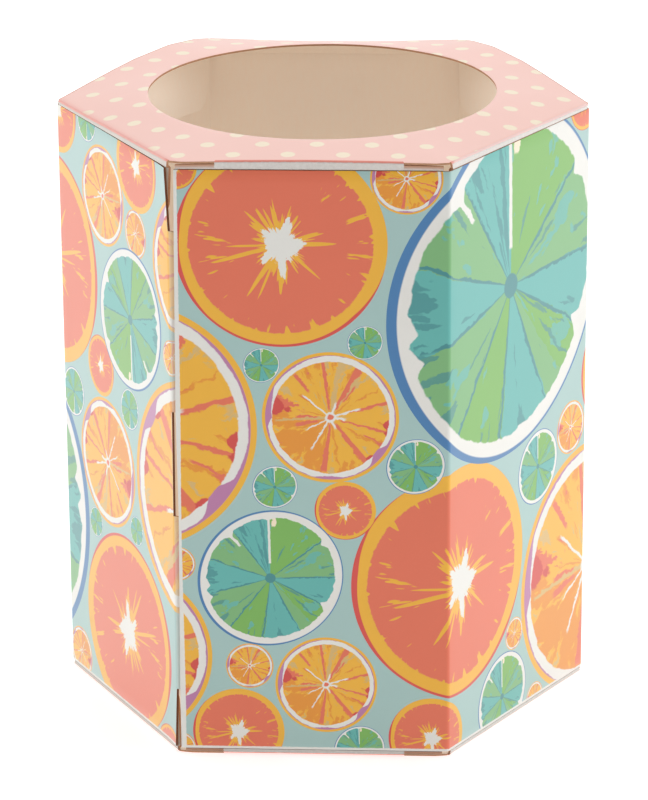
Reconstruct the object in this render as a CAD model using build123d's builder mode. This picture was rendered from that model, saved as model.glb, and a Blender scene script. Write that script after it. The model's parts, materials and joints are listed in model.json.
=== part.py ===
"""Hexagonal folding carton with a round opening in its lid.

Six printed walls make a tube.  The lid and the base are creased to the back wall, and each
carries five flaps that fold in behind the other walls.  Origin: centre of the base on the floor.
"""
import os
from math import cos, radians, sin, tan

from build123d import *

os.makedirs("parts", exist_ok=True)

# Driving dimensions, in millimetres and degrees
side = 50.0  # outside width of each wall
height = 113.5  # floor to the top of the lid
board = 0.45  # thickness of the paperboard
opening_radius = 32.6  # round opening in the lid
lid_gap = 1.5  # top of the lid down to the raw top edge of a wall
base_gap = 1.0  # floor up to the raw bottom edge of a wall

# Flaps of the lid and of the base
flap_lean = 7.0  # how far a folded flap leans inward from upright
flap_play = 0.16  # clearance between a flap and the wall in front of it
flap_length = 10.8
flap_end_gap = 1.2  # distance from a corner of the tube to the root of a flap
flap_taper = 20.0  # how far the ends of a flap slope
flap_corner = 2.5
tuck_length = 12.0
tuck_crease = 33.6  # width of the crease that is left between the two slits
tuck_width = 47.6  # width across the shoulders beside the slits
tuck_shoulder = 3.0  # straight part at each end of the shoulders
tuck_tip_width = 32.0
tuck_corner = 4.0
slit_drop = 0.4  # shoulders start this far from the panel

# Glued seam at the front left corner
seam_gap = 0.6  # from the corner to the raw edge of the front wall
tab_cut_back = 11.5  # from the end of the wall to the first tab
tab_length = 34.0
tab_width = 10.0
tab_taper = 15.0
glue = 0.10  # thickness of the adhesive film
glue_width = 6.0
glue_margin = 2.0

# Worked-out dimensions
apothem = side / 2 * tan(radians(60))
inner_apothem = apothem - board
mitre = board * tan(radians(30))
crease_apothem = inner_apothem - flap_play - board * cos(radians(flap_lean))
lid_underside = height - board
wall_bottom = base_gap
wall_top = height - lid_gap
tab_centre = tab_cut_back + tab_length / 2

# Direction that each wall faces, measured from +X towards +Y
facing = {
    "front": -90,
    "right_front": -30,
    "right_back": 30,
    "back": 90,
    "left_back": 150,
    "left_front": 210,
}
flap_sides = ["right_front", "right_back", "left_back", "left_front"]


def outward(name):
    """Unit vector that a wall faces along."""
    angle = radians(facing[name])
    return Vector(cos(angle), sin(angle), 0)


def along(name):
    """Unit vector along a wall, anticlockwise seen from above."""
    angle = radians(facing[name])
    return Vector(-sin(angle), cos(angle), 0)


def wall_plane(name, level):
    """Level plane whose X runs out through a wall and whose Y runs along it."""
    return Plane(origin=(0, 0, level), x_dir=outward(name), z_dir=(0, 0, 1))


def flap_plane(name):
    """Plane of a lid flap's inner face: X along its crease, Y upward, Z out to the wall."""
    lean = radians(flap_lean)
    face = outward(name) * cos(lean) - Vector(0, 0, sin(lean))
    crease = outward(name) * crease_apothem + Vector(0, 0, lid_underside)
    return Plane(origin=crease, x_dir=along(name), z_dir=face)


def store(part, name):
    """Label one finished piece and write it."""
    part.label = name
    export_step(part, f"parts/{name}.step")


# Walls with a mitred crease at both ends.  The back wall runs on to the lid and the base,
# which are creased to it.
for name in ["right_front", "right_back", "back", "left_back"]:
    bottom = board if name == "back" else wall_bottom
    top = lid_underside if name == "back" else wall_top
    with BuildPart() as wall:
        with BuildSketch(wall_plane(name, bottom)):
            with BuildLine():
                Polyline(
                    (apothem, -side / 2),
                    (apothem, side / 2),
                    (inner_apothem, side / 2 - mitre),
                    (inner_apothem, mitre - side / 2),
                    close=True,
                )
            make_face()
        extrude(amount=top - bottom)
    store(wall.part, f"{name}_wall")

# The front wall ends square at the seam, a little short of the corner.
with BuildPart() as front_wall:
    with BuildSketch(wall_plane("front", wall_bottom)):
        with BuildLine():
            Polyline(
                (apothem, seam_gap - side / 2),
                (apothem, side / 2),
                (inner_apothem, side / 2 - mitre),
                (inner_apothem, seam_gap - side / 2),
                close=True,
            )
        make_face()
    extrude(amount=wall_top - wall_bottom)
store(front_wall.part, "front_wall")

# The left front wall stops where its seam tabs turn in behind the front wall.
tab_apothem = inner_apothem - glue
seam_outer = (tab_apothem - apothem / 2) / cos(radians(30))
seam_inner = (tab_apothem - board - inner_apothem / 2) / cos(radians(30))
with BuildPart() as left_front_wall:
    with BuildSketch(wall_plane("left_front", wall_bottom)):
        with BuildLine():
            Polyline(
                (apothem, -side / 2),
                (apothem, seam_outer),
                (inner_apothem, seam_inner),
                (inner_apothem, mitre - side / 2),
                close=True,
            )
        make_face()
    extrude(amount=wall_top - wall_bottom)
store(left_front_wall.part, "left_front_wall")

# Two seam tabs, creased to the left front wall, each with a film of adhesive that holds it to
# the inside of the front wall.
seam_corner = outward("left_front") * apothem + along("left_front") * seam_outer
seam_edge = outward("left_front") * inner_apothem + along("left_front") * seam_inner
seam_start = seam_corner.dot(along("front"))
seam_root = seam_edge.dot(along("front"))
tab_levels = {"upper": wall_top - tab_centre, "lower": wall_bottom + tab_centre}
for place, level in tab_levels.items():
    tab_face = Plane(
        origin=outward("front") * (tab_apothem - board) + Vector(0, 0, level),
        x_dir=along("front"),
        z_dir=outward("front"),
    )
    slope = tab_width * tan(radians(tab_taper))
    with BuildPart() as tab:
        with BuildSketch(tab_face):
            with BuildLine():
                Polyline(
                    (seam_start, -tab_length / 2),
                    (seam_start, tab_length / 2),
                    (seam_start + tab_width, tab_length / 2 - slope),
                    (seam_start + tab_width, slope - tab_length / 2),
                    close=True,
                )
            make_face()
        extrude(amount=board)
        # The root of the tab is mitred against the left front wall.
        with BuildSketch(wall_plane("front", level - tab_length)):
            with BuildLine():
                Polyline(
                    (tab_apothem, seam_start),
                    (tab_apothem - board, seam_start),
                    (tab_apothem - board, seam_root),
                    close=True,
                )
            make_face()
        extrude(amount=2 * tab_length, mode=Mode.SUBTRACT)
    store(tab.part, f"seam_tab_{place}")

    film_face = Plane(
        origin=outward("front") * tab_apothem + Vector(0, 0, level),
        x_dir=along("front"),
        z_dir=outward("front"),
    )
    with BuildPart() as film:
        with BuildSketch(film_face):
            with Locations((seam_start + glue_margin + glue_width / 2, 0)):
                RectangleRounded(glue_width, tab_length - 3 * glue_margin, glue_margin)
        extrude(amount=glue)
    store(film.part, f"seam_glue_{place}")

# Lid with its round opening, and the plain base, both creased to the back wall
with BuildPart() as lid_panel:
    with BuildSketch(Plane.XY.offset(lid_underside)):
        RegularPolygon(radius=side, side_count=6)
        Circle(opening_radius, mode=Mode.SUBTRACT)
    extrude(amount=board)
store(lid_panel.part, "lid_panel")

with BuildPart() as base_panel:
    with BuildSketch(Plane.XY):
        RegularPolygon(radius=side, side_count=6)
    extrude(amount=board)
store(base_panel.part, "base_panel")

# The lid's flaps hang down inside the walls.  The base has the same flaps, standing up.
middle = Plane.XY.offset(height / 2)
flap_root = crease_apothem / tan(radians(60)) - flap_end_gap
flap_tip = flap_root - flap_length * tan(radians(flap_taper))
for name in flap_sides:
    with BuildPart() as lid_flap:
        with BuildSketch(flap_plane(name)) as outline:
            with BuildLine():
                Polyline(
                    (-flap_root, 0),
                    (flap_root, 0),
                    (flap_tip, -flap_length),
                    (-flap_tip, -flap_length),
                    close=True,
                )
            make_face()
            fillet(outline.vertices().group_by(Axis.Y)[0], flap_corner)
        extrude(amount=board)
    store(lid_flap.part, f"lid_flap_{name}")

    with BuildPart() as base_flap:
        mirror(lid_flap.part, about=middle)
    store(base_flap.part, f"base_flap_{name}")

# The front flap tucks in behind the front wall.  A slit at each end of its crease frees a
# shoulder that grips the wall.
with BuildPart() as lid_tuck:
    with BuildSketch(flap_plane("front")) as outline:
        with BuildLine():
            Polyline(
                (-tuck_crease / 2, 0),
                (tuck_crease / 2, 0),
                (tuck_crease / 2, -slit_drop),
                (tuck_width / 2, -slit_drop),
                (tuck_width / 2, -slit_drop - tuck_shoulder),
                (tuck_tip_width / 2, -tuck_length),
                (-tuck_tip_width / 2, -tuck_length),
                (-tuck_width / 2, -slit_drop - tuck_shoulder),
                (-tuck_width / 2, -slit_drop),
                (-tuck_crease / 2, -slit_drop),
                close=True,
            )
        make_face()
        fillet(outline.vertices().group_by(Axis.Y)[0], tuck_corner)
    extrude(amount=board)
store(lid_tuck.part, "lid_tuck_flap")

with BuildPart() as base_tuck:
    mirror(lid_tuck.part, about=middle)
store(base_tuck.part, "base_tuck_flap")
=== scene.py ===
"""Looks of the hexagonal carton: printed walls, a bowed lid with a round opening, creases and flaps."""
import json
from math import atan, atan2, cos, degrees, pi, radians, sin, tan

import bpy
import numpy as np
from mathutils import Matrix, Vector


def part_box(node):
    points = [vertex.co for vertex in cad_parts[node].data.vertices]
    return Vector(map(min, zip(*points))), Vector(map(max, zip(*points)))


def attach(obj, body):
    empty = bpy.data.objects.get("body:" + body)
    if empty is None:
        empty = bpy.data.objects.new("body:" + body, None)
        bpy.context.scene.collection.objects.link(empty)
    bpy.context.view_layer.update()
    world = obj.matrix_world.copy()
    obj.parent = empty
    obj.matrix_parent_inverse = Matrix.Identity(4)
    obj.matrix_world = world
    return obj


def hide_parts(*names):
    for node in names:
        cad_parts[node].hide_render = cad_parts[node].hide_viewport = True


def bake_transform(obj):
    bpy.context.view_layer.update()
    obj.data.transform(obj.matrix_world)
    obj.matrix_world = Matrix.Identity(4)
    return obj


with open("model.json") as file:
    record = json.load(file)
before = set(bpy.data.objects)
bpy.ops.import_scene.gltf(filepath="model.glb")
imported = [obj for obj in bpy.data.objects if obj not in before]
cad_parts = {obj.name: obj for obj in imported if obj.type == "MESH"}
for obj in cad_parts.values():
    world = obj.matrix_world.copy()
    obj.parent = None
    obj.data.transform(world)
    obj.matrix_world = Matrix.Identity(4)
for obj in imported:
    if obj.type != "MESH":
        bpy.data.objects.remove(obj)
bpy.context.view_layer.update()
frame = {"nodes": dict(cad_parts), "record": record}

MM = 0.001

# ---- sizes read from the frame ----
lid_low, lid_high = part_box("lid_panel")
wall_low, wall_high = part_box("front_wall")
SIDE = lid_high.x
APOTHEM = lid_high.y
BOARD = lid_high.z - lid_low.z
LID_TOP = lid_high.z
WALL_BOTTOM = wall_low.z
WALL_TOP = wall_high.z
OPENING = next(m for m in frame["record"]["mounts"] if m["name"] == "round_opening")["dims"]["r_mm"] * MM
TAB_HIGH = {place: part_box(f"seam_tab_{place}")[1].z for place in ("upper", "lower")}
TAB_LOW = {place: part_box(f"seam_tab_{place}")[0].z for place in ("upper", "lower")}

# ---- sizes of the finish ----
FOLD = 0.9 * MM  # outside radius of a folded corner
SEAM_GAP = 0.6 * MM  # from the corner to the raw edge of the front wall
SEAM_CORNER = SIDE / 2 - 0.635 * MM  # where the seam tabs turn in from the left front wall
LEFT_SLANT = 1.15 * MM  # how much higher the walls end at the left corner than at the front
RIGHT_SLANT = 0.9 * MM
SLANT_START = 20.0 * MM  # the print stretches with the slant over this last part of the wall
CREASE = 0.45 * MM  # radius where the lid turns over into a flap
TUCK_HALF = 16.8 * MM  # half of the tuck flap's crease; the slits beyond it free the rest of the front edge
TUCK_LENGTH = 12.0 * MM
TUCK_SHOULDER_HALF = 23.8 * MM  # half width at the shoulders
TUCK_TIP_HALF = 16.0 * MM
TUCK_CORNER = 4.0 * MM
FLAP_LENGTH = 10.8 * MM
FLAP_ROOT_HALF = SIDE / 2 - 0.55 * MM
FLAP_TAPER = radians(20)
FLAP_CORNER = 2.5 * MM
FLAP_LEAN = radians(7)
FACING = {"front": -90, "right_front": -30, "right_back": 30, "back": 90,
          "left_back": 150, "left_front": 210}
SIDES = ["right_front", "right_back", "left_back", "left_front"]
WALL_STEP = 50.0  # a wall's width on the printed strip, mm
STRIP_START = {name: k * WALL_STEP for k, name in enumerate(FACING)}

# ==== Materials =========================================================================


class Nodes:
    """Short calls that add nodes to a shader tree and return the socket they end in."""

    def __init__(self, tree):
        self.tree = tree

    def node(self, kind, **settings):
        made = self.tree.nodes.new("ShaderNode" + kind)
        for key, value in settings.items():
            setattr(made, key, value)
        return made

    def plug(self, socket, value):
        if isinstance(value, bpy.types.NodeSocket):
            self.tree.links.new(value, socket)
        elif isinstance(value, (tuple, list)) and socket.type == "RGBA":
            socket.default_value = (*value, 1.0)
        else:
            socket.default_value = value

    def math(self, operation, a, b=0.0, c=0.0):
        made = self.node("Math", operation=operation)
        for socket, value in zip(made.inputs, (a, b, c)):
            self.plug(socket, value)
        return made.outputs[0]

    def add(self, a, b):
        return self.math("ADD", a, b)

    def minus(self, a, b):
        return self.math("SUBTRACT", a, b)

    def times(self, a, b):
        return self.math("MULTIPLY", a, b)

    def scaled(self, a, factor, offset):
        return self.math("MULTIPLY_ADD", a, factor, offset)

    def larger(self, a, b):
        return self.math("MAXIMUM", a, b)

    def smaller(self, a, b):
        return self.math("MINIMUM", a, b)

    def vector(self, operation, a, b=(0.0, 0.0, 0.0), scale=1.0):
        made = self.node("VectorMath", operation=operation)
        self.plug(made.inputs[0], a)
        self.plug(made.inputs[1], b)
        if operation == "SCALE":
            self.plug(made.inputs["Scale"], scale)
        single = operation in ("LENGTH", "DOT_PRODUCT", "DISTANCE")
        return made.outputs["Value" if single else "Vector"]

    def mix(self, factor, a, b, kind="RGBA"):
        made = self.node("Mix", data_type=kind)
        place = {"FLOAT": 2, "VECTOR": 4, "RGBA": 6}[kind]
        self.plug(made.inputs[0], factor)
        self.plug(made.inputs[place], a)
        self.plug(made.inputs[place + 1], b)
        return made.outputs[{"FLOAT": 0, "VECTOR": 1, "RGBA": 2}[kind]]

    def noise(self, at, scale, detail=2.0, rough=0.5, colour=False):
        made = self.node("TexNoise")
        self.plug(made.inputs["Vector"], at)
        self.plug(made.inputs["Scale"], scale)
        self.plug(made.inputs["Detail"], detail)
        self.plug(made.inputs["Roughness"], rough)
        return made.outputs["Color" if colour else "Fac"]

    def ramp(self, value, stops, flat=False):
        """Colour or level along value; stops are (place, colour or level)."""
        made = self.node("ValToRGB")
        band = made.color_ramp
        band.interpolation = "CONSTANT" if flat else "LINEAR"
        while len(band.elements) < len(stops):
            band.elements.new(0.5)
        for element, (place, _) in zip(band.elements, stops):
            element.position = place
        for element, (_, tint) in zip(band.elements, stops):
            element.color = (*tint, 1.0) if isinstance(tint, tuple) else (tint, tint, tint, 1.0)
        self.plug(made.inputs[0], value)
        return made.outputs[0]

    def split(self, value, edge, soft, a, b):
        """Colour a below the edge and b above it."""
        return self.mix(self.step(value, edge, soft), a, b)

    def rotated(self, at, angle):
        made = self.node("VectorRotate", rotation_type="Z_AXIS")
        self.plug(made.inputs["Vector"], at)
        self.plug(made.inputs["Angle"], angle)
        return made.outputs[0]

    def parts(self, vector):
        made = self.node("SeparateXYZ")
        self.plug(made.inputs[0], vector)
        return made.outputs[0], made.outputs[1], made.outputs[2]

    def join(self, x, y, z=0.0):
        made = self.node("CombineXYZ")
        for socket, value in zip(made.inputs, (x, y, z)):
            self.plug(socket, value)
        return made.outputs[0]

    def step(self, value, edge, soft):
        """0 below edge, 1 above it, over a soft band."""
        made = self.node("MapRange", interpolation_type="SMOOTHSTEP")
        self.plug(made.inputs["Value"], value)
        moving = isinstance(edge, bpy.types.NodeSocket)
        self.plug(made.inputs["From Min"], self.minus(edge, soft) if moving else edge - soft)
        self.plug(made.inputs["From Max"], self.add(edge, soft) if moving else edge + soft)
        return made.outputs[0]


SHEEN_ROUGHNESS = 0.4
VARNISH_ROUGHNESS = 0.35
FIBRE_SCALE = 3.2  # fibres and clouds in the board, to a millimetre
CLOUD_SCALE = 0.09
ROUGHNESS_SPREAD = 0.16
BUMP_STRENGTH = 0.35


class Paint(Nodes):
    """One material: its shader, places on the object and the finish that all board shares."""

    def __init__(self, name, roughness=0.55, specular=0.35, sheen=0.0, varnish=0.0):
        self.material = bpy.data.materials.new(name)
        self.material.use_nodes = True
        super().__init__(self.material.node_tree)
        self.shader = self.tree.nodes["Principled BSDF"]
        finish = {"Roughness": roughness, "Specular IOR Level": specular, "Sheen Weight": sheen,
                  "Sheen Roughness": SHEEN_ROUGHNESS, "Coat Weight": varnish,
                  "Coat Roughness": VARNISH_ROUGHNESS}
        for socket, level in finish.items():
            self.shader.inputs[socket].default_value = level

    def place(self):
        """Place on the object in millimetres."""
        made = self.node("TexCoord")
        return self.vector("SCALE", made.outputs["Object"], scale=1 / MM)

    def strip(self):
        """Place on the printed strip in millimetres: along the walls, and height."""
        made = self.node("UVMap", uv_map="strip")
        return self.vector("SCALE", made.outputs[0], scale=1 / MM)

    def paper(self, colour, at, fibre=0.03, grain=0.05):
        """Finish the surface with paper's mottle, fibre bump and uneven sheen."""
        fine = self.noise(at, FIBRE_SCALE, 4.0, 0.65)
        cloudy = self.noise(at, CLOUD_SCALE, 3.0)
        mottle = self.scaled(fine, grain, 1.0 - grain / 2)
        mottle = self.times(mottle, self.scaled(cloudy, grain, 1.0 - grain / 2))
        self.plug(self.shader.inputs["Base Color"], self.vector("SCALE", colour, scale=mottle))
        roughness = self.shader.inputs["Roughness"]
        uneven = self.scaled(fine, ROUGHNESS_SPREAD, roughness.default_value - ROUGHNESS_SPREAD / 2)
        self.plug(roughness, uneven)
        bump = self.node("Bump")
        self.plug(bump.inputs["Strength"], BUMP_STRENGTH)
        self.plug(bump.inputs["Distance"], fibre * MM)
        self.plug(bump.inputs["Height"], fine)
        self.plug(self.shader.inputs["Normal"], bump.outputs[0])
        return self.material


def shade(red, green, blue):
    """Linear colour from an everyday 0 to 255 one."""
    return tuple((c / 255.0) ** 2.2 for c in (red, green, blue))


WHITE = shade(238, 236, 230)
GROUND = shade(167, 200, 196)
CORAL = shade(234, 111, 79)
CORAL_RED = shade(222, 70, 62)
MUSTARD = shade(247, 182, 40)
ORANGE = shade(238, 148, 26)
TAN = shade(222, 182, 112)
PURPLE = shade(190, 122, 168)
SCARLET = shade(216, 66, 58)
BLUE = shade(60, 122, 178)
TEAL = shade(92, 181, 174)
DEEP_TEAL = shade(58, 138, 142)
GREEN = shade(120, 182, 82)
PALE_GREEN = shade(122, 182, 118)
PINK = shade(254, 204, 192)
CREAM = shade(254, 236, 208)

# Printed slices on the unrolled walls, by kind: place along the strip, height and radius in mm.  The strip
# starts at the seam and runs to the right round the carton, a wall after the other.
SLICES = {
    "coral": [
        (19.8, 98.4, 19.1), (1.2, 112.3, 3.9), (31.1, 48.2, 5.6), (11.1, 4.5, 8.5), (54.3, 33.4, 22.2),
        (46.9, 3.6, 8), (98.2, 114.8, 5.6), (110.8, 60.5, 12.6), (130, 86, 19), (123.5, 48.5, 3),
        (170, 92, 17), (166, 15, 12.5), (189, 107, 5.5), (178, 6, 2.2), (204, 60, 4.3), (205, 108, 5),
        (246.2, 82.8, 20.9), (250.7, 112.2, 8.2), (286, 109.3, 8.6), (267.8, 66.5, 5.9),
        (277.9, 16.2, 19.2), (296, -1.5, 5.5),
    ],
    "yellow": [
        (42.3, 110.6, 6.5), (28.5, 66, 12.4), (-8.5, 63.8, 23.7), (13.3, 17.6, 4.4), (0.3, 37.5, 3.3),
        (-11, 19.5, 17.4), (27.4, 14, 9.4), (0.2, 1.2, 2.9), (94.3, 51.8, 5.2), (101, 22.2, 24.8),
        (73.7, 16.6, 3.2), (81.6, 0.8, 3.1), (141, 50, 14), (150, 72, 5), (126, 110, 4), (152, 106, 5.5),
        (190, 16, 9.5), (152.5, 3, 3.5), (205.5, 82, 17), (234, 108, 5), (270.6, 100.2, 9.5),
        (285.1, 96.4, 4.6), (306.7, 94.2, 14.2), (299.6, 76.7, 3.4), (270, 48, 12.5), (306.8, 50, 23.5),
        (254.9, 4.3, 5),
    ],
    "lime": [
        (34.8, 80.2, 3.2), (16.1, 75.8, 3.3), (18.3, 52.6, 4.1), (43.9, 56.8, 5.3), (17.3, 34.9, 13.3),
        (33.5, 1.2, 4.7), (71.4, 85.6, 32.6), (82, 47.5, 7.2), (69.4, 5.2, 8.7), (112, 106, 6),
        (140, 19, 12), (107, 82, 3.5), (142, 109, 3.5), (124, 5, 3.5), (176, 50, 20), (153, 35, 4),
        (187, 71, 3), (220, 106, 7.5), (224, 70, 4), (200, 3, 3.5), (228.5, 30.9, 31.7), (264, 113.2, 4.3),
        (281.9, 79.3, 13.6), (254.5, 57.6, 4.9), (280.7, 61.6, 4), (263.7, 34, 3), (282.6, 38.2, 2.9),
    ],
}
TURNED = {"left_back", "left_front"}  # the print lies upside down on these walls


def polar(paint, local):
    """Distance from the centre and turn: 0 at the left, then anticlockwise."""
    x, y, _ = paint.parts(local)
    turn = paint.scaled(paint.math("ARCTAN2", y, x), 0.5 / pi, 0.5)
    return paint.vector("LENGTH", local), turn


def by_angle(paint, turn, levels):
    """Level that runs evenly between the given (heading, level) pairs round the slice."""
    return paint.ramp(turn, [((heading + 180) / 360.0, level) for heading, level in levels])


def spikes(paint, turn, points):
    """Level that rises to thin spikes, given as (heading, height, half width in degrees)."""
    levels = []
    for heading, height, half in points:
        levels += [(max(heading - half, -180), 0.0), (heading, height), (heading + half, 0.0)]
    return by_angle(paint, turn, levels)


def brushed(paint, turn, far, count, stretch=1.2, detail=2.0):
    """Noise drawn out along the radius, about count strokes to a turn."""
    at = paint.join(paint.times(turn, count), paint.times(far, stretch))
    return paint.noise(at, 1.0, detail, 0.6)


# Tables round a slice: (heading in degrees, 0 to the right, then a share of the slice's radius).
CORAL_CORE = [
    (-180, .15), (-160, .13), (-132, .27), (-122, .14), (-100, .18), (-84, .33), (-74, .18), (-40, .15),
    (-15, .20), (5, .24), (18, .15), (50, .15), (76, .29), (86, .15), (115, .15), (138, .22), (155, .17),
    (180, .15),
]
CORAL_BODY = [
    (-180, .22), (-150, .24), (-130, .25), (-105, .30), (-82, .32), (-65, .20), (-20, .20), (5, .24),
    (40, .17), (75, .22), (105, .28), (140, .28), (160, .21), (180, .22),
]
CORAL_SPIKES = [
    (-178, .60, 6), (-164, .75, 6), (-122, .64, 7), (-112, .66, 4), (-42, .52, 6), (1, .55, 9),
    (50, .34, 5), (75, .42, 6), (100, .46, 6), (136, .50, 7),
]
CORAL_STREAKS = [
    (-180, .50), (-145, .45), (-130, .16), (-60, .14), (-30, .22), (-18, .30), (18, .30), (32, .16),
    (42, .40), (52, .34), (60, .14), (140, .10), (170, .28), (180, .50),
]
CORAL_OUTLINE = [
    (-180, .050), (-160, .040), (-135, .020), (-90, .024), (-45, .034), (-25, .012), (-12, .0), (120, .0),
    (150, .016), (172, .050), (180, .050),
]
CORAL_FLESH = 0.868  # radius of the flesh, as a share of the slice's


def coral_slice(paint, local, _):
    """Coral flesh, mustard rind with inward streaks, red outline and a ragged star in the middle."""
    far, turn = polar(paint, local)
    ragged = paint.noise(local, 18.0, 4.0, 0.75)
    jitter = paint.scaled(ragged, 0.16, -0.08)
    teeth = paint.larger(paint.scaled(brushed(paint, turn, far, 40.0), 0.9, -0.50), 0.0)
    edge = paint.minus(CORAL_FLESH, paint.add(teeth, paint.times(jitter, 0.25)))
    colour = paint.split(far, edge, 0.006, CORAL, MUSTARD)
    inward = paint.step(paint.add(far, by_angle(paint, turn, CORAL_STREAKS)), 0.94, 0.02)
    strokes = paint.step(brushed(paint, turn, far, 64.0, 2.4), 0.615, 0.012)
    colour = paint.mix(paint.times(inward, strokes), colour, MUSTARD)
    burst = paint.scaled(brushed(paint, turn, far, 34.0, 0.4), 0.9, -0.45)
    body = paint.add(by_angle(paint, turn, CORAL_BODY), burst)
    arms = paint.add(spikes(paint, turn, CORAL_SPIKES), paint.times(jitter, 0.4))
    star = paint.larger(body, arms)
    colour = paint.split(far, star, 0.008, MUSTARD, colour)
    core = paint.add(by_angle(paint, turn, CORAL_CORE), jitter)
    core = paint.scaled(burst, 0.22, core)
    colour = paint.split(far, core, 0.008, WHITE, colour)
    outline = paint.minus(1.0, by_angle(paint, turn, CORAL_OUTLINE))
    colour = paint.split(far, outline, 0.004, colour, CORAL_RED)
    return colour, far


# Strokes of the yellow slice: direction, half width, start, end, colour.
YELLOW_STROKES = [
    (97, .024, .12, .86, CORAL), (61, .040, .14, .88, CORAL), (52, .016, .30, .60, CORAL),
    (16, .022, .30, .88, CORAL), (-15, .018, .15, .88, CORAL), (-28, .012, .55, .80, CORAL),
    (-53, .036, .12, .86, CORAL), (-97, .036, .10, .84, CORAL), (193, .032, .18, .52, CORAL),
    (178, .022, .18, .50, CORAL), (128, .024, .50, .84, CORAL), (140, .015, .0, .52, WHITE),
    (18, .017, .0, .45, WHITE), (-4, .016, .0, .22, WHITE), (70, .016, .0, .24, WHITE),
    (183, .018, .0, .80, TAN), (240, .013, .0, .56, WHITE), (207, .012, .0, .40, WHITE),
    (-66, .018, .0, .18, WHITE),
]
YELLOW_SHADOW = [(-180, .10), (-165, .16), (-115, .16), (-80, .04), (-60, .0), (150, .0), (180, .10)]
YELLOW_SUNLIT = [(-70, .0), (35, .02), (55, .10), (78, .10), (118, .07), (135, .0)]
YELLOW_FLUSHED = [(-60, .0), (142, .0), (150, .17), (166, .17), (173, .0)]
YELLOW_PURPLE = [
    (-180, .10), (-172, .03), (-150, .012), (-104, .012), (-95, .05), (-88, .05), (-78, .012), (-52, .02),
    (-42, .11), (-34, .11), (-26, .03), (0, .015), (40, .025), (70, .0), (100, .015), (130, .03),
    (150, .012), (160, .06), (180, .10),
]
# Scarlet blots: x, y, radius.
YELLOW_BLOBS = [
    (-0.80, 0.17, 0.13), (-0.62, 0.12, 0.05), (0.85, -0.12, 0.085), (0.84, -0.24, 0.06), (0.58, -0.62, 0.05),
]
YELLOW_FLESH = 0.880  # radius of the flesh
YELLOW_RIND = 0.952  # and of the white rind


def yellow_slice(paint, local, _):
    """Mustard flesh with coral veins, white rays and rind, purple blots and an orange outline."""
    far, turn = polar(paint, local)
    ragged = paint.noise(local, 7.0, 3.0, 0.65)
    jitter = paint.scaled(ragged, 0.04, -0.02)
    rays = brushed(paint, paint.add(turn, jitter), far, 30.0, 1.6, 3.0)
    shadow = by_angle(paint, turn, YELLOW_SHADOW)
    colour = paint.split(paint.add(rays, shadow), 0.585, 0.02, MUSTARD, ORANGE)
    sunlit = by_angle(paint, turn, YELLOW_SUNLIT)
    colour = paint.split(paint.minus(sunlit, rays), -0.37, 0.02, colour, TAN)
    flushed = by_angle(paint, turn, YELLOW_FLUSHED)
    flushed = paint.step(paint.add(rays, flushed), 0.66, 0.02)
    colour = paint.mix(paint.times(flushed, paint.step(far, 0.40, 0.04)), colour, CORAL)
    crooked = paint.scaled(ragged, 0.09, -0.045)
    for heading, width, start, end, tint in YELLOW_STROKES:
        angle = radians(heading)
        beside = paint.vector("DOT_PRODUCT", local, (-sin(angle), cos(angle), 0.0))
        beside = paint.math("ABSOLUTE", paint.add(beside, crooked))
        forward = paint.vector("DOT_PRODUCT", local, (cos(angle), sin(angle), 0.0))
        ended = paint.step(paint.times(forward, -1.0), -end, 0.03)
        span = paint.times(paint.step(forward, start, 0.03), ended)
        width = paint.scaled(ragged, 1.6 * width, 0.1 * width)
        if tint == CORAL:
            width = paint.times(width, paint.add(forward, 0.55))
        line = paint.times(span, paint.step(paint.minus(width, beside), 0.0, 0.006))
        colour = paint.mix(line, colour, tint)
    for x, y, reach in YELLOW_BLOBS:
        near = paint.add(paint.vector("DISTANCE", local, (x, y, 0.0)), paint.times(crooked, 1.6))
        colour = paint.split(near, reach, 0.01, SCARLET, colour)
    colour = paint.split(paint.add(far, crooked), 0.08, 0.01, WHITE, colour)
    colour = paint.split(paint.add(far, crooked), 0.045, 0.01, CORAL, colour)
    rind = paint.add(paint.scaled(rays, -0.05, YELLOW_FLESH), jitter)
    colour = paint.split(far, rind, 0.006, colour, WHITE)
    purple = paint.minus(YELLOW_RIND, by_angle(paint, turn, YELLOW_PURPLE))
    colour = paint.split(far, paint.add(purple, jitter), 0.005, colour, PURPLE)
    colour = paint.split(far, YELLOW_RIND, 0.004, colour, MUSTARD)
    return colour, far


LIME_WEDGES = [
    (-180, TEAL), (-164, PALE_GREEN), (-128, GREEN), (-97, TEAL), (-63, PALE_GREEN), (-50, GREEN),
    (-28, TEAL), (2, PALE_GREEN), (38, GREEN), (90, TEAL), (126, PALE_GREEN), (162, TEAL),
]
LIME_VEINS = [-164, -128, -97, -63, -28, 2, 38, 126, 162]
LIME_STREAKS = [
    (-180, .02), (-172, .08), (-160, .02), (-140, .05), (-110, .0), (-60, .02), (-32, .12), (-24, .12),
    (-18, .0), (30, .02), (38, .08), (46, .0), (88, .02), (93, .12), (122, .12), (128, .02), (155, .0),
    (180, .02),
]
LIME_RIM = [
    (-180, .11), (-172, .15), (-165, .06), (-152, .10), (-138, .13), (-128, .0), (-20, .0), (0, .03),
    (20, .0), (158, .0), (170, .09), (180, .11),
]
LIME_RIND = [
    (-180, .0), (-172, .07), (-168, .0), (-160, .06), (-156, .0), (-60, .0), (-33, .0), (-27, .10),
    (-23, .02), (0, .0), (30, .0), (35, .07), (39, .0), (84, .0), (92, .04), (96, .0), (126, .0),
    (131, .09), (137, .0), (180, .0),
]


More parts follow.
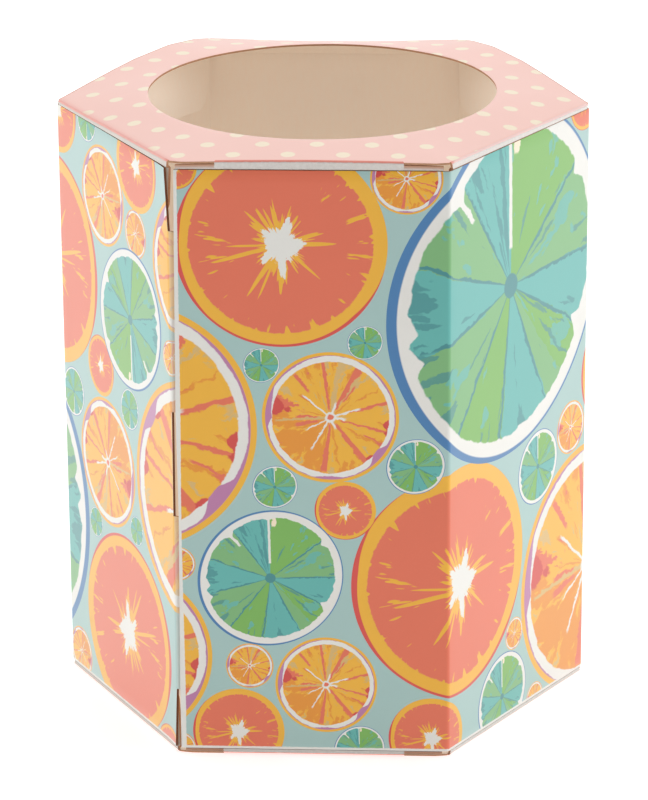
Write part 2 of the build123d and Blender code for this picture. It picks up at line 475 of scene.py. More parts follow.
LIME_OVAL_TURN = radians(-40)
LIME_OVAL = (0.968, 1.034, 1.0)  # the lime is a little oval
LIME_REACH = 1.035  # so its outline reaches this far
LIME_FLESH = 0.912  # radius of the flesh in a large slice
LIME_FULL = 0.965  # and the most it comes to in a small one
LIME_RING = 0.976  # where the blue outline starts, nearer to the middle at the left of a large slice
VEIN_REACH = 0.012  # part of a turn over which the distance from a vein is known
VEIN_WIDTH = 0.026


def ray(paint, local, heading, start, width, sway):
    """1 inside a straight stroke that runs outwards from start.  Sway bends its edges."""
    out, beside, _ = paint.parts(paint.rotated(local, radians(-heading)))
    beside = paint.math("ABSOLUTE", paint.add(beside, sway))
    within = paint.step(paint.times(beside, -1.0), -width, 0.004)
    return paint.times(paint.step(out, start, 0.01), within)


def lime_slice(paint, local, size):
    """Teal and green wedges with darker veins and hub, a white rind and a blue outline."""
    far, turn = polar(paint, local)
    oval = paint.vector("MULTIPLY", paint.rotated(local, LIME_OVAL_TURN), LIME_OVAL)
    outline = paint.vector("LENGTH", oval)
    ragged = paint.noise(local, 7.0, 3.0, 0.65)
    jitter = paint.scaled(ragged, 0.02, -0.01)
    bent = paint.add(turn, jitter)
    colour = paint.ramp(bent, [((heading + 180) / 360.0, tint) for heading, tint in LIME_WEDGES], flat=True)
    fine = brushed(paint, bent, far, 46.0, 1.6)
    broad = brushed(paint, bent, far, 22.0, 2.2, 3.0)
    colour = paint.mix(paint.times(paint.step(broad, 0.60, 0.01), 0.8), colour, TEAL)
    streaks = paint.add(fine, by_angle(paint, turn, LIME_STREAKS))
    outer = paint.scaled(paint.step(far, 0.3, 0.1), 0.05, -0.05)
    rim = paint.times(by_angle(paint, turn, LIME_RIM), paint.step(far, 0.74, 0.06))
    streaks = paint.add(paint.add(streaks, outer), rim)
    colour = paint.mix(paint.times(paint.step(streaks, 0.665, 0.012), 0.75), colour, DEEP_TEAL)
    stops = []
    for heading in LIME_VEINS:
        at = (heading + 180) / 360.0
        stops += [(at - VEIN_REACH, 0.0), (at, 1.0), (at + VEIN_REACH, 0.0)]
    away = paint.minus(1.0, paint.ramp(bent, stops))
    beside = paint.times(paint.times(away, far), VEIN_REACH * 2 * pi)
    width = paint.times(paint.smaller(paint.times(far, 3.0), 1.0), VEIN_WIDTH)
    width = paint.times(width, paint.minus(ragged, 0.10))
    colour = paint.split(beside, width, 0.003, DEEP_TEAL, colour)
    colour = paint.split(paint.add(far, jitter), 0.072, 0.005, DEEP_TEAL, colour)
    sway = paint.scaled(ragged, 0.10, -0.05)
    colour = paint.mix(ray(paint, local, 91, 0.22, 0.016, paint.times(sway, 0.2)), colour, WHITE)
    colour = paint.mix(ray(paint, local, 131, 0.62, 0.020, sway), colour, WHITE)
    colour = paint.mix(ray(paint, local, 86, 0.76, 0.022, sway), colour, CREAM)
    notches = paint.add(by_angle(paint, turn, LIME_RIND), paint.times(jitter, 2.0))
    full = paint.scaled(fine, -0.05, LIME_FLESH)
    full = paint.larger(full, paint.scaled(size, -0.35, LIME_FULL))
    edge = paint.minus(full, notches)
    colour = paint.split(outline, edge, 0.006, colour, WHITE)
    x, _, _ = paint.parts(local)
    ring = paint.smaller(paint.scaled(paint.times(x, size), 0.036, LIME_RING), 0.984)
    colour = paint.split(outline, ring, 0.005, colour, BLUE)
    return colour, outline


def artwork_group(kind, draw):
    """Node group of one artwork: a place on the slice and its size in, its colour and outline out."""
    tree = bpy.data.node_groups.new(f"{kind}_slice", "ShaderNodeTree")
    sockets = ("Place", "INPUT", "Vector"), ("Colour", "OUTPUT", "Color"), ("Far", "OUTPUT", "Float")
    for name, way, sort in sockets:
        tree.interface.new_socket(name, in_out=way, socket_type=f"NodeSocket{sort}")
    nodes = Nodes(tree)
    x, y, size = nodes.parts(tree.nodes.new("NodeGroupInput").outputs[0])
    colour, far = draw(nodes, nodes.join(x, y), size)
    end = tree.nodes.new("NodeGroupOutput")
    tree.links.new(colour, end.inputs[0])
    tree.links.new(far, end.inputs[1])
    return tree


ARTWORK = {kind: artwork_group(kind, draw)
           for kind, draw in (("coral", coral_slice), ("yellow", yellow_slice), ("lime", lime_slice))}
REACH = {"coral": 1.0, "yellow": 1.0, "lime": LIME_REACH}
LARGEST = max(radius for slices in SLICES.values() for _, _, radius in slices)
FAR_OFF = (9.0, 9.0, 1.0)  # outside every slice
NEIGHBOUR = 2.0  # slices this near to a wall are drawn on it too, mm
# Bare board beside the seam, in mm beyond the margin, by height from the floor (0) to the wall's top (1).
SEAM_WEAR = [(0.0, 0.85), (0.12, 0.85), (0.4, 0.62), (0.6, 0.85), (1.0, 0.95)]
MARGIN = 0.42  # unprinted margin along a cut end at its narrowest, mm
MARGIN_SPREAD = 0.16
FADE_START = 6 * WALL_STEP - 0.7  # the print fades beside the left front wall's free edge


def printed_wall(name):
    """Citrus print of one wall.  Each kind of slice is drawn once, in the smallest of its circles here."""
    paint = Paint(f"print_{name}", roughness=0.5, specular=0.4, sheen=1.0, varnish=0.5)
    strip = paint.strip()
    low, high = STRIP_START[name] - NEIGHBOUR, STRIP_START[name] + WALL_STEP + NEIGHBOUR
    flip = -1.0 if name in TURNED else 1.0
    colour = GROUND
    for kind, group in ARTWORK.items():
        chosen = FAR_OFF
        for centre, level, radius in sorted(SLICES[kind], key=lambda one: -one[2]):
            if low - radius < centre < high + radius:
                local = paint.vector("SUBTRACT", strip, (centre, level, 0.0))
                local = paint.vector("SCALE", local, scale=flip / radius)
                inside = paint.math("LESS_THAN", paint.vector("LENGTH", local), REACH[kind])
                sized = paint.vector("ADD", local, (0.0, 0.0, radius / LARGEST))
                chosen = paint.mix(inside, chosen, sized, kind="VECTOR")
        drawn = paint.node("Group")
        drawn.node_tree = group
        paint.plug(drawn.inputs[0], chosen)
        colour = paint.mix(paint.math("LESS_THAN", drawn.outputs[1], 1.0), colour, drawn.outputs[0])
    # unprinted margins at the wall's bottom and beside the seam
    across, height, _ = paint.parts(strip)
    margin = paint.scaled(paint.noise(strip, 1.4, 2.0), MARGIN_SPREAD, MARGIN)
    bare = paint.minus(1.0, paint.step(height, paint.add(WALL_BOTTOM / MM, margin), 0.05))
    if name == "front":
        wear = paint.ramp(paint.math("DIVIDE", height, WALL_TOP / MM), SEAM_WEAR)
        worn = paint.minus(1.0, paint.step(across, paint.add(wear, margin), 0.08))
        bare = paint.larger(bare, worn)
    if name == "left_front":
        bare = paint.larger(bare, paint.times(paint.step(across, FADE_START, 0.4), 0.4))
    colour = paint.mix(bare, colour, WHITE)
    return paint.paper(colour, paint.place())


DOT_COLUMN = 4.9  # the dots are staggered: half the distance across and down between them, mm
DOT_ROW = 5.03
DOT_SHIFT = 3.9  # from the middle of the panel to the first dot's column, mm
DOT_RADIUS = 1.3  # mm
DOT_WOBBLE = 0.3
EVEN_ROWS = 40  # enough steps to count every dot on the panel from below zero
DARKER_BAND_WIDTH = 1.3  # the ink darkens this close to the left front crease, mm


def dotted_print():
    """Pink with staggered cream dots."""
    paint = Paint("print_dots", roughness=0.45, specular=0.5, sheen=0.3)
    at = paint.place()
    x, y, _ = paint.parts(at)
    nearest = None
    for row in (0, 1):
        column = paint.add(x, (EVEN_ROWS + row) * DOT_COLUMN + DOT_SHIFT)
        across = paint.math("PINGPONG", column, DOT_COLUMN)
        down = paint.math("PINGPONG", paint.add(y, (EVEN_ROWS + row) * DOT_ROW), DOT_ROW)
        far = paint.vector("LENGTH", paint.join(across, down))
        nearest = far if nearest is None else paint.smaller(nearest, far)
    wobble = paint.scaled(paint.noise(at, 0.9), DOT_WOBBLE, DOT_RADIUS - DOT_WOBBLE / 2)
    colour = paint.split(nearest, wobble, 0.16, CREAM, PINK)
    # The pink is darker toward the left front crease.
    facing = radians(FACING["left_front"])
    reach = paint.vector("DOT_PRODUCT", at, (cos(facing), sin(facing), 0.0))
    darker_band = paint.step(reach, APOTHEM / MM - 0.5 * DARKER_BAND_WIDTH, DARKER_BAND_WIDTH)
    colour = paint.mix(paint.times(darker_band, 0.7), colour, shade(246, 168, 158))
    return paint.paper(colour, at)


def mottled(paint, stretch, noise, first, second, fibre, grain):
    """Material that wanders between two shades, by noise drawn out by stretch."""
    at = paint.place()
    fibres = paint.noise(paint.vector("MULTIPLY", at, stretch), *noise)
    return paint.paper(paint.mix(fibres, first, second), at, fibre, grain)


def bare_board():
    """Unprinted white side of the board, faintly warm and fibrous."""
    paint = Paint("bare_board", roughness=0.7, specular=0.2)
    shades = shade(236, 226, 214), shade(246, 241, 234)
    return mottled(paint, (1.0, 1.0, 0.18), (2.0, 4.0, 0.6), *shades, fibre=0.05, grain=0.07)


def inner_board():
    """Uncoated inner side of the board, with a faint warm painted glow in place of daylight soaking through
    it and bouncing inside.
    """
    paint = Paint("inner_board", roughness=0.75, specular=0.15)
    # Painted glow: a warm emission that stands in for light soaking through the board and bouncing inside.
    paint.plug(paint.shader.inputs["Emission Color"], (1.0, 0.78, 0.60))
    paint.plug(paint.shader.inputs["Emission Strength"], 0.11)
    shades = shade(246, 236, 224), shade(251, 244, 235)
    return mottled(paint, (1.0, 1.0, 0.3), (1.5, 4.0, 0.6), *shades, fibre=0.05, grain=0.05)


def cut_edge(name, dark, pale):
    """Cut edge of the board, browned by the cutter, with darker plies and flecks."""
    paint = Paint(name, roughness=0.85, specular=0.15)
    return mottled(paint, (0.6, 0.6, 4.0), (2.0, 3.0, 0.7), pale, dark, fibre=0.08, grain=0.15)


def adhesive():
    """Dried film of glue, slightly glossy and uneven."""
    paint = Paint("adhesive", roughness=0.3, specular=0.5)
    shades = shade(214, 206, 178), shade(236, 230, 210)
    return mottled(paint, (1.0, 1.0, 1.0), (0.8, 3.0), *shades, fibre=0.06, grain=0.08)


def creased_board(name, slits=False):
    """Board that turns over from the dotted print: ink cracked to a red line, then bare.

    The line is faint on the right.  Painted shade browns a tuck flap's shoulders, beyond the slits, under
    the lid's overhang.
    """
    paint = Paint(name, roughness=0.65, specular=0.25)
    at = paint.place()
    across, drop, _ = paint.parts(paint.strip())
    frayed = paint.scaled(paint.noise(at, 1.1, 3.0), 0.20, 0.18)
    # Painted shade: this bare board is greyer than bare_board, standing in for the shade on the turned-over
    # strips.
    colour = paint.mix(paint.noise(at, 2.0, 3.0), shade(212, 205, 199), shade(234, 229, 224))
    side, _, _ = paint.parts(at)
    corner = SIDE / 2 / MM + 0.5  # just beyond the front corners
    # Painted shade: greyer still on the left side flaps.
    colour = paint.split(side, -corner, 0.5, shade(214, 206, 199), colour)
    if slits:
        # Painted shade under the lid's overhang: brown at the top of the shoulders, fading out lower down.
        beyond = paint.step(paint.math("ABSOLUTE", across), TUCK_HALF / MM, 0.12)
        overhang_shade = paint.minus(1.0, paint.step(drop, 1.15, 0.45))
        colour = paint.mix(paint.times(beyond, overhang_shade), colour, shade(196, 148, 122))
    ink = paint.split(side, corner, 0.5, shade(240, 150, 136), shade(250, 214, 208))
    ink = paint.split(side, -corner, 0.5, shade(247, 184, 174), ink)
    colour = paint.split(drop, frayed, 0.05, ink, colour)
    return paint.paper(colour, at, fibre=0.06, grain=0.08)


PRINT = {name: printed_wall(name) for name in FACING}
DOTS = dotted_print()
BARE = bare_board()
INNER = inner_board()
CREASED = creased_board("creased_board")
TUCKED = creased_board("tuck_board", slits=True)
CUT = cut_edge("cut_edge", shade(170, 116, 84), shade(218, 174, 142))
# Darker copy of the cut edge for the seam walls: browned by the cutter, and darker still as painted shade in
# the seam's gap.
SCORCHED_AND_SHADED = cut_edge("scorched_and_shaded_edge", shade(96, 56, 38), shade(150, 100, 74))
GLUE = adhesive()

# ==== Sheets of board ===================================================================

HALF_FOLD = radians(30)  # each wall takes half of a corner's turn
FOLD_STEPS = 6
WALL_PRESSED = 0.06 * MM  # the cutter presses each side of a wall's ends in by this much
PANEL_PRESSED = 0.05 * MM  # and each side of the lid's and the base's rims
RIM_BAND = 0.2 * MM  # the pressed end of a wall is this high
TAB_STEP = 0.02 * MM  # the free edge steps in over this height at a tab's ends
TAB_LENGTH = 9.4 * MM
TAB_TAPER = radians(15)
SEAM_CUT = 0.9 * MM  # the left front wall's free edge is cut back this far at the top
SEAM_CUT_BELOW = 0.5  # and by this share of it at the bottom
SEAM_SWELL = 0.35 * MM  # between the tabs it stands this much proud
SEAM_STAND_OFF = 0.35 * MM  # the free edge stands off this far at the wall's ends
FREE_EDGE_BAND = 7.0 * MM  # width of the wall that bends where the free edge stands off
SEAM_STRAY = [-0.25, -0.30, 0.10, -0.15, 0.20, 0.35]  # front wall's raw edge from straight, mm, upward


def outward(name):
    angle = radians(FACING[name])
    return Vector((cos(angle), sin(angle), 0.0))


def along(name):
    angle = radians(FACING[name])
    return Vector((-sin(angle), cos(angle), 0.0))


def spot(name, a, d, z):
    """Point at a along a side of the carton, d outward from the axis and z high."""
    return outward(name) * d + along(name) * a + Vector((0, 0, z))


def tilt(name, t):
    """Outward direction of a side's surface after it has turned by t round a corner."""
    return outward(name) * cos(t) + along(name) * sin(t)


def board_cell(point, normal, place, pressed=0.0, thickness=BOARD):
    """One cell of a sheet: a point of its face, the one behind it and their place on the print."""
    return point - normal * pressed, point - normal * (thickness - pressed), place


def board_sheet(name, grid, materials, loop=False):
    """A closed sheet from rows of cells.  Its materials are for the face, the back and the rims."""
    rows, columns = len(grid), len(grid[0])
    cells = [cell for row in grid for cell in row]
    size = len(cells)

    def at(side, row, column):
        return side * size + row * columns + column % columns

    faces, slots = [], []
    last = columns if loop else columns - 1
    for row in range(rows - 1):
        for column in range(last):
            corners = [(row, column), (row, column + 1), (row + 1, column + 1), (row + 1, column)]
            faces.append([at(0, *corner) for corner in corners])
            faces.append([at(1, *corner) for corner in reversed(corners)])
            slots += [0, 1]
    rims = [((row, column + 1), (row, column), turn)
            for column in range(last) for row, turn in ((0, 1), (rows - 1, -1))]
    if not loop:
        rims += [((row, column), (row + 1, column), turn)
                 for row in range(rows - 1) for column, turn in ((0, 1), (columns - 1, -1))]
    for start, end, turn in rims:
        faces.append([at(0, *start), at(0, *end), at(1, *end), at(1, *start)][::turn])
        slots.append(2)

    mesh = bpy.data.meshes.new(name)
    mesh.from_pydata([tuple(cell[side]) for side in (0, 1) for cell in cells], [], faces)
    for material in materials:
        mesh.materials.append(material)
    mesh.polygons.foreach_set("material_index", slots)
    uv = mesh.uv_layers.new(name="strip")
    for corner, place in zip(mesh.loops, uv.data):
        place.uv = cells[corner.vertex_index % size][2]
    mesh.polygons.foreach_set("use_smooth", [True] * len(mesh.polygons))
    mesh.validate()
    mesh.update()
    mesh.set_sharp_from_angle(angle=radians(35))
    piece = bpy.data.objects.new(name, mesh)
    bpy.context.scene.collection.objects.link(piece)
    return piece


def finish_piece(piece, body, node):
    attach(piece, body)
    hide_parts(node)
    return piece


def spread(start, end, count):
    return [start + (end - start) * k / (count - 1) for k in range(count)]


# ---- walls ---------------------------------------------------------------------------


def fold_points(corner, sign):
    """Half of a folded corner seen from above: (along, outward, turn of the surface)."""
    flat = corner - FOLD * tan(HALF_FOLD)
    turns = spread(0.0, HALF_FOLD, FOLD_STEPS + 1)
    return [(sign * (flat + FOLD * sin(t)), APOTHEM - FOLD + FOLD * cos(t), sign * t) for t in turns]


def wall_end(name, a):
    """Height where a wall ends under the lid: it rises from the front corners to the side ones."""
    share = (SIDE / 2 + a) / SIDE
    slant = {"left_front": LEFT_SLANT * (1 - share), "left_back": LEFT_SLANT,
             "right_front": RIGHT_SLANT * share, "right_back": RIGHT_SLANT}
    return WALL_TOP + slant.get(name, 0.0)


def wall_profile(name):
    left = fold_points(SIDE / 2, -1)[::-1]
    right = fold_points(SIDE / 2, 1)
    if name == "front":
        left = [(SEAM_GAP - SIDE / 2, APOTHEM, 0.0)]
    if name == "left_front":
        right = fold_points(SEAM_CORNER, 1)
    middle = [(a, APOTHEM, 0.0) for a in spread(left[-1][0], right[0][0], 26)[1:-1]]
    return left + middle + right


def wall_heights(name):
    low, high = (BOARD, LID_TOP - BOARD) if name == "back" else (WALL_BOTTOM, WALL_TOP)
    levels = [low, low + RIM_BAND, high - RIM_BAND, high]
    if name == "left_front":
        for place in TAB_LOW:
            bottom, top = TAB_LOW[place], TAB_HIGH[place]
            levels += [bottom - TAB_STEP, bottom, top, top + TAB_STEP]
    even = [z for z in spread(low, high, 45) if min(abs(z - level) for level in levels) > 0.5 * MM]
    return sorted(levels + even)


def free_edge(high, a, d, t):
    """Where a point of the left front wall goes beside a tab: cut back, and standing off near the ends."""
    if any(TAB_LOW[place] <= high <= TAB_HIGH[place] for place in TAB_LOW):
        return a, d, t
    above = max(0.0, high - TAB_HIGH["upper"]) / (WALL_TOP - TAB_HIGH["upper"])
    below = max(0.0, TAB_LOW["lower"] - high) / (TAB_LOW["lower"] - WALL_BOTTOM)
    between = max(0.0, high - TAB_HIGH["lower"]) / (TAB_LOW["upper"] - TAB_HIGH["lower"])
    swell = SEAM_SWELL * between if between < 1.0 else 0.0
    cut = SEAM_CUT * max(above, below * SEAM_CUT_BELOW) ** 0.8 - swell
    crease = SEAM_CORNER - FOLD * tan(HALF_FOLD)
    if a > crease:
        a, d, t = crease + FOLD * t, APOTHEM, 0.0
    near = max(0.0, 1.0 - (SIDE / 2 - a) / FREE_EDGE_BAND)
    return a - cut * near ** 3, d + SEAM_STAND_OFF * max(above, below) * near ** 2, t


def raw_edge(high, a):
    """Where a point of the front wall goes as its raw edge strays from straight."""
    ends = [limit[place] for place in ("lower", "upper") for limit in (TAB_LOW, TAB_HIGH)]
    levels = [WALL_BOTTOM, *ends, WALL_TOP]
    return a + float(np.interp(high, levels, SEAM_STRAY)) * MM * max(0.0, -a / (SIDE / 2)) ** 6


def build_wall(name):
    profile = wall_profile(name)
    heights = wall_heights(name)
    grid = []
    for row, high in enumerate(heights):
        pressed = WALL_PRESSED if row in (0, len(heights) - 1) else 0.0
        stretched = max(0.0, (high - WALL_TOP) / SLANT_START + 1.0)
        cells = []
        for a, d, t in profile:
            if name == "left_front":
                a, d, t = free_edge(high, a, d, t)
            if name == "front":
                a = raw_edge(high, a)
            level = high + (wall_end(name, a) - WALL_TOP) * stretched
            place = (STRIP_START[name] * MM + SIDE / 2 + a, level)
            cells.append(board_cell(spot(name, a, d, level), tilt(name, t), place, pressed))
        grid.append(cells)
    # The seam walls take the darker cut edge: painted shade in the seam's gap.
    edge = SCORCHED_AND_SHADED if name in ("left_front", "front") else CUT
    piece = board_sheet(f"{name}_panel", grid, [PRINT[name], INNER, edge])
    return finish_piece(piece, "tube", f"{name}_wall")


for name in FACING:
    build_wall(name)


def build_tab(place):
    """A seam tab: it turns in from the left front wall and lies behind the front wall."""
    centre_a, centre_d = SEAM_CORNER - FOLD * tan(HALF_FOLD), APOTHEM - FOLD
    turns = spread(HALF_FOLD, 2 * HALF_FOLD, FOLD_STEPS)
    profile = [(centre_a + FOLD * sin(t), centre_d + FOLD * cos(t), t, 0.0) for t in turns]
    end_a, end_d, end_t, _ = profile[-1]
    runs = spread(0.0, TAB_LENGTH, 10)[1:]
    profile += [(end_a + run * cos(end_t), end_d - run * sin(end_t), end_t, run) for run in runs]
    low, high = TAB_LOW[place], TAB_HIGH[place]
    slope = tan(TAB_TAPER)
    grid = []
    for share in spread(0.0, 1.0, 15):
        cells = []
        for a, d, t, run in profile:
            level = low + slope * run + share * (high - low - 2 * slope * run)
            across = STRIP_START["left_front"] * MM + SIDE / 2 + SEAM_CORNER + FOLD * (t - HALF_FOLD) + run
            cells.append(board_cell(spot("left_front", a, d, level), tilt("left_front", t), (across, level)))
        grid.append(cells)
    piece = board_sheet(f"seam_tab_{place}_board", grid, [PRINT["left_front"], INNER, CUT])
    return finish_piece(piece, "tube", f"seam_tab_{place}")


for place in ("upper", "lower"):
    build_tab(place)
    film = frame["nodes"][f"seam_glue_{place}"]
    film.data.materials.clear()
    film.data.materials.append(GLUE)

# ---- lid and base --------------------------------------------------------------------
# The board of the lid bows upward: heights above a flat lid, in mm, at the outline and at the opening's rim,
# by direction from -90 (front) through 0 (right) to 90 (back); the left side is the same.
EDGE_DIRECTIONS = [-90, -75, -60, -45, -30, -15, 0, 10, 20, 30, 45, 55, 60, 75, 90]
EDGE_RISE = [0.3, 0.2, 0.0, 0.1, 0.2, 0.2, 0.4, 1.6, 2.6, 3.4, 3.9, 3.3, 2.5, 2.1, 2.0]
RIM_RISE = 2.7  # at the opening's rim, midway between the front and the back
RIM_TILT = 1.2  # more at the back, less at the front
BOW_POWER = 1.15  # how the rise runs from the rim to the outline
RAGGED_RIM = 0.09 * MM  # the opening's cut rim wanders by about this much
RING_STEP = 2.5  # degrees between the points of a ring
SLIT_STEP = 0.03  # degrees each side of the tuck flap's slits
CENTRE = 0.02 * MM  # the rings of points of the base end this close to its centre


def outline_reach(direction, inset=None):
    """Distance from the axis to the hexagon's outline, inset by inset(name, along) at its sides."""
    reaches = []
    for name, facing in FACING.items():
        turn = radians(direction - facing)
        if cos(turn) > 0.3:
            taken = inset(name, APOTHEM * tan(turn)) if inset else 0.0
            reaches.append((APOTHEM - taken) / cos(turn))
    return min(reaches)


def lid_rise(x, y):
    """Height of the bowed lid above a flat one."""
    direction = degrees(atan2(y, abs(x)))
    edge = np.interp(direction, EDGE_DIRECTIONS, EDGE_RISE)
    rim = RIM_RISE + RIM_TILT * sin(radians(direction))
    distance = (x * x + y * y) ** 0.5
    share = min(max((distance - OPENING) / (outline_reach(direction) - OPENING), 0.0), 1.0)
    return (rim + (edge - rim) * share ** BOW_POWER) * MM


def crease_inset(name, a):
    """Creased edges stop where the board starts to turn over; the slit ends of the front edge don't."""
    return 0.0 if name == "front" and abs(a) > TUCK_HALF else CREASE


def panel_directions():
    """Directions of a ring's points, with pairs of them close together at the tuck flap's slits."""
    slit = degrees(atan(TUCK_HALF / APOTHEM))
    special = [-90 + side * (slit + step) for side in (-1, 1) for step in (-SLIT_STEP, SLIT_STEP)]
    corners = [-180 + 60 * k for k in range(6)]
    even = [-180 + RING_STEP * k for k in range(round(360 / RING_STEP))]
    even = [d for d in even if min(abs(d - s) for s in special) > 0.6]
    return sorted({*even, *special, *corners})


def panel_grid(shares, inner, ragged, height, up):
    """Rings of cells from the inner radius out to the creases; the innermost one is ragged."""
    grid = []
    for share in shares:
        pressed = PANEL_PRESSED if share in (0.0, 1.0) else 0.0
        cells = []
        for direction, stray in zip(panel_directions(), ragged):
            start = inner + stray * (1 - share)
            reach = start + (outline_reach(direction, crease_inset) - start) * share
            x, y = reach * cos(radians(direction)), reach * sin(radians(direction))
            cells.append(board_cell(Vector((x, y, height(x, y))), Vector((0, 0, up)), (x, y), pressed))
        grid.append(cells)
    return grid


def build_lid():
    rng = np.random.default_rng(7)
    ragged = rng.normal(0, 1, len(panel_directions()))
    ragged = np.concatenate([ragged[-2:], ragged, ragged[:2]])
    ragged = np.convolve(ragged, [0.15, 0.2, 0.3, 0.2, 0.15], "valid") * RAGGED_RIM
    shares = [0.0, 0.02, 0.08] + spread(0.16, 0.94, 9) + [0.985, 1.0]
    grid = panel_grid(shares, OPENING, ragged, lambda x, y: LID_TOP + lid_rise(x, y), 1)
    piece = board_sheet("lid_board", grid[::-1], [DOTS, BARE, CUT], loop=True)
    return finish_piece(piece, "lid", "lid_panel")


def build_base():
    even = [0.0] * len(panel_directions())
    grid = panel_grid([0.0, 0.25, 0.5, 0.75, 0.9, 0.97, 1.0], CENTRE, even, lambda x, y: 0.0, -1)
    piece = board_sheet("base_board", grid, [DOTS, INNER, CUT], loop=True)
    return finish_piece(piece, "base", "base_panel")


# ---- flaps ---------------------------------------------------------------------------

# Section of the strip that lies over the wall's end: outward from the apothem in mm, share of the gap.
STRIP_BEND = [
    (0.0, 0.10), (-0.02, 0.16), (-0.03, 0.20), (-0.05, 0.80), (-0.26, 0.93), (-0.50, 0.985), (-0.60, 1.10),
]
SHOULDER_START = 0.18  # share of the gap where a tuck flap widens to its shoulders
SHOULDER_DROP = 4.0 * MM  # they start to taper this far below the crease
ROOT_TAPER = 0.35  # how fast a side flap narrows over the strip
ROUNDING = 0.85  # how much of a full round the corners at the tip are


def flap_section(length, gap):
    """Section through a flap from its crease: (kind, outward from the apothem, drop if the board lay flat).

    The crease's arc turns over, the strip below it reaches the end of the wall, and from there the body
    leans inward behind the wall.
    """
    arc = [("arc", -CREASE + CREASE * sin(t), CREASE - CREASE * cos(t)) for t in spread(0.0, pi / 2, 6)]
    strip = [("strip", d * MM, CREASE + share * (gap - CREASE)) for d, share in STRIP_BEND]
    _, start_d, start_drop = strip[-1]
    runs = spread(0.0, length - start_drop, 12)[1:]
    body = [("body", start_d - run * sin(FLAP_LEAN), start_drop + run * cos(FLAP_LEAN)) for run in runs]
    return arc + strip + body


def flap_drop(kind, drop, gap, crease_height, end_height):
    """Drop from the crease of a bowed panel: the strip stretches to the wall's end, the body stays put."""
    if kind == "arc":
        return drop
    if kind == "body":
        return drop + crease_height
    share = (drop - CREASE) / (gap - CREASE)
    return CREASE + share * (gap + crease_height - end_height - CREASE)


def rounded_off(drop, length, corner):
    """How much the rounded corners at the tip take off the half width, at this drop."""
    share = min(max(0.0, drop - (length - corner)) / corner, 1.0)
    return corner * ROUNDING * (1 - (1 - share ** 2) ** 0.5)


def tuck_half(drop, gap):
    """Half width of a tuck flap: narrow at its crease, then its shoulders, then tapered to the tip."""
    if drop < CREASE + SHOULDER_START * (gap - CREASE):
        return TUCK_HALF
    taper = (TUCK_SHOULDER_HALF - TUCK_TIP_HALF) / (TUCK_LENGTH - SHOULDER_DROP)
    half = TUCK_SHOULDER_HALF - max(0.0, drop - SHOULDER_DROP) * taper
    return half - rounded_off(drop, TUCK_LENGTH, TUCK_CORNER)


def side_half(drop, gap):
    """Half width of a side flap: nearly the whole side at its crease, tapered below the wall's end."""
    half = FLAP_ROOT_HALF - min(drop, gap) * ROOT_TAPER - max(0.0, drop - gap) * tan(FLAP_TAPER)
    return half - rounded_off(drop, FLAP_LENGTH, FLAP_CORNER)


def build_flap(owner, name):
    tuck = name == "front"
    lid = owner == "lid"
    up = 1 if lid else -1
    gap = LID_TOP - WALL_TOP if lid else WALL_BOTTOM
    length, half_width = (TUCK_LENGTH, tuck_half) if tuck else (FLAP_LENGTH, side_half)
    section = flap_section(length, gap)
    grid = []
    for k, (kind, d, drop) in enumerate(section):
        before, after = section[max(k - 1, 0)], section[min(k + 1, len(section) - 1)]
        run = Vector((after[2] - before[2], up * (after[1] - before[1]))).normalized()
        normal = outward(name) * run.x + Vector((0, 0, run.y))
        half = half_width(drop, gap)
        cells = []
        for a in spread(-half, half, 41):
            crease = spot(name, a, APOTHEM - CREASE, 0.0)
            rise = lid_rise(crease.x, crease.y) if lid else 0.0
            slant = wall_end(name, a) - WALL_TOP if lid else 0.0
            below = flap_drop(kind, drop, gap, rise, slant)
            level = LID_TOP + rise - below if lid else below
            cells.append(board_cell(spot(name, a, APOTHEM + d, level), normal, (a, below)))
        grid.append(cells)
    node = f"{owner}_tuck_flap" if tuck else f"{owner}_flap_{name}"
    face = TUCKED if tuck else CREASED
    piece = board_sheet(f"{node}_board", grid[::-1] if lid else grid, [face, INNER, CUT])
    crease = spot(name, 0.0, APOTHEM, LID_TOP if lid else 0.0)
    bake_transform(piece)
    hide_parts(node)
    return piece


# ---- back creases --------------------------------------------------------------------

CREASE_MARGIN = 0.5 * MM  # the back creases end this far from the corners
CREASE_THICKNESS = 0.98 * BOARD  # creased board is pressed a little


def build_back_crease(owner):
    """The crease that joins the back wall to the lid or the base: two flat rows, then its arc."""
    lid = owner == "lid"
    up = 1 if lid else -1
    rise = lid_rise(0.0, APOTHEM) if lid else 0.0
    wall_stop = LID_TOP - BOARD if lid else BOARD
    half = SIDE / 2 - CREASE_MARGIN
    grid = []
    for share, t in [(0.0, pi / 2), (0.5, pi / 2)] + [(1.0, t) for t in spread(pi / 2, 0.0, 7)]:
        normal = outward("back") * sin(t) + Vector((0, 0, up * cos(t)))
        cells = []
        for a in spread(-half, half, 31):
            edge = spot("back", a, APOTHEM - CREASE, 0.0)
            top = LID_TOP + lid_rise(edge.x, edge.y) if lid else 0.0
            level = wall_stop + share * (top - up * CREASE - wall_stop) + up * CREASE * cos(t)
            point = spot("back", a, APOTHEM - CREASE + CREASE * sin(t), level)
            place = (STRIP_START["back"] * MM + SIDE / 2 + a, level)
            cells.append(board_cell(point, normal, place, thickness=CREASE_THICKNESS))
        grid.append(cells)
    piece = board_sheet(f"{owner}_back_crease", grid if lid else grid[::-1], [BARE, INNER, CUT])
    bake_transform(piece)
    return piece


build_lid()
for owner in ("lid", "base"):
    for name in ["front"] + SIDES:
        build_flap(owner, name)
build_base()
for owner in ("lid", "base"):
    build_back_crease(owner)

# ==== Studio ============================================================================

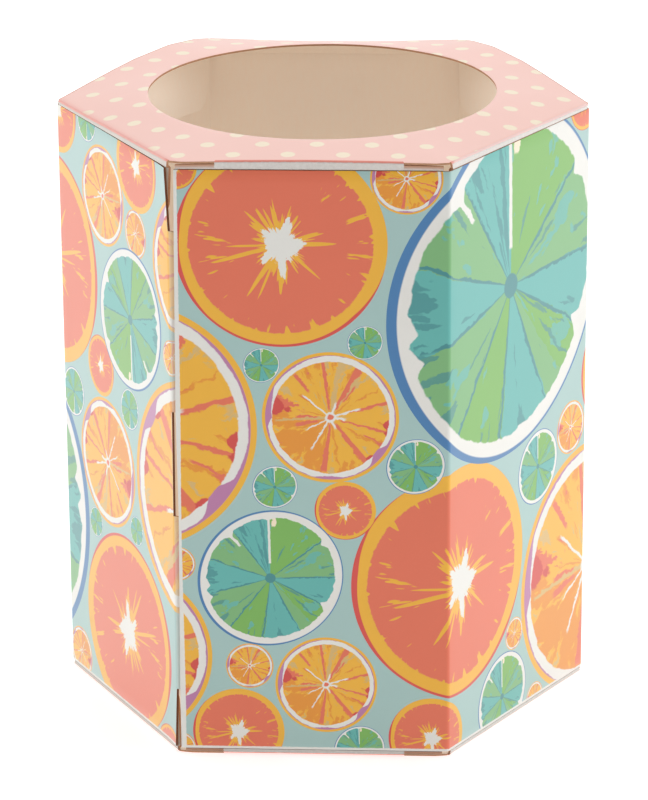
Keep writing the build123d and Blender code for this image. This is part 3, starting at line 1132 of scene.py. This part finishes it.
CAMERA_PLACE = (0.0400, -0.7091, 0.2890)
CAMERA_TARGET = (-0.0010, 0.0163, 0.0497)
CAMERA_ROLL = radians(-0.41)
FOCAL_LENGTH = 175.4  # mm, on a 36 mm sensor
WHITE_LIGHT = (1.0, 1.0, 1.0)
FLOOR_HALF = 3.0
FLOOR_DROP = 0.2 * MM  # keeps the floor clear of the base
FLOOR_GLOW = 0.5
SKY_STRENGTH = 0.28

# Lights: place, target, diameter, power in watts.
LIGHTS = {
    "left_softbox": ((-1.0, 0.0, 0.45), (0, 0, 0.06), 0.6, 4.2),
    "right_softbox": ((1.0, 0.0, 0.4), (0, 0, 0.06), 0.6, 4.3),
    "back_softbox": ((0.0, 2.0, 0.8), (0, 0, 0.1), 2.0, 7.0),
    "top_softbox": ((0.0, 0.4, 1.3), (0, 0.2, 0.0), 1.2, 8.2),
}


def aim(thing, target, roll=0.0):
    turn = (Vector(target) - thing.location).to_track_quat("-Z", "Y")
    thing.rotation_euler = (turn.to_matrix() @ Matrix.Rotation(roll, 3, "Z")).to_euler()


def add_camera():
    lens = bpy.data.cameras.new("camera")
    lens.lens = FOCAL_LENGTH
    lens.sensor_width = 36.0
    lens.clip_start = 0.05
    camera = bpy.data.objects.new("camera", lens)
    bpy.context.scene.collection.objects.link(camera)
    camera.location = CAMERA_PLACE
    aim(camera, CAMERA_TARGET, roll=CAMERA_ROLL)
    bpy.context.scene.camera = camera


def add_world():
    world = bpy.data.worlds.new("studio")
    world.use_nodes = True
    sky = world.node_tree.nodes["Background"]
    sky.inputs["Color"].default_value = (*WHITE_LIGHT, 1.0)
    sky.inputs["Strength"].default_value = SKY_STRENGTH
    bpy.context.scene.world = world


def add_floor():
    paint = Paint("floor", roughness=0.9, specular=0.1)
    tone = paint.mix(paint.noise(paint.place(), 0.02, 2.0), (0.86, 0.86, 0.85), (0.9, 0.9, 0.89))
    paint.plug(paint.shader.inputs["Base Color"], tone)
    paint.plug(paint.shader.inputs["Emission Color"], WHITE_LIGHT)
    paint.plug(paint.shader.inputs["Emission Strength"], FLOOR_GLOW)
    corners = [(x * FLOOR_HALF, y * FLOOR_HALF, 0) for x, y in ((-1, -1), (1, -1), (1, 1), (-1, 1))]
    mesh = bpy.data.meshes.new("floor")
    mesh.from_pydata(corners, [], [[0, 1, 2, 3]])
    mesh.materials.append(paint.material)
    floor = bpy.data.objects.new("floor", mesh)
    floor.location.z = -FLOOR_DROP
    bpy.context.scene.collection.objects.link(floor)


def add_light(name, place, target, size, power):
    lamp = bpy.data.lights.new(name, "AREA")
    lamp.shape = "DISK"
    lamp.size = size
    lamp.energy = power
    lamp.color = WHITE_LIGHT
    thing = bpy.data.objects.new(name, lamp)
    bpy.context.scene.collection.objects.link(thing)
    thing.location = place
    aim(thing, target)


bpy.context.scene.view_settings.view_transform = "Standard"
add_camera()
add_world()
add_floor()
for name, settings in LIGHTS.items():
    add_light(name, *settings)
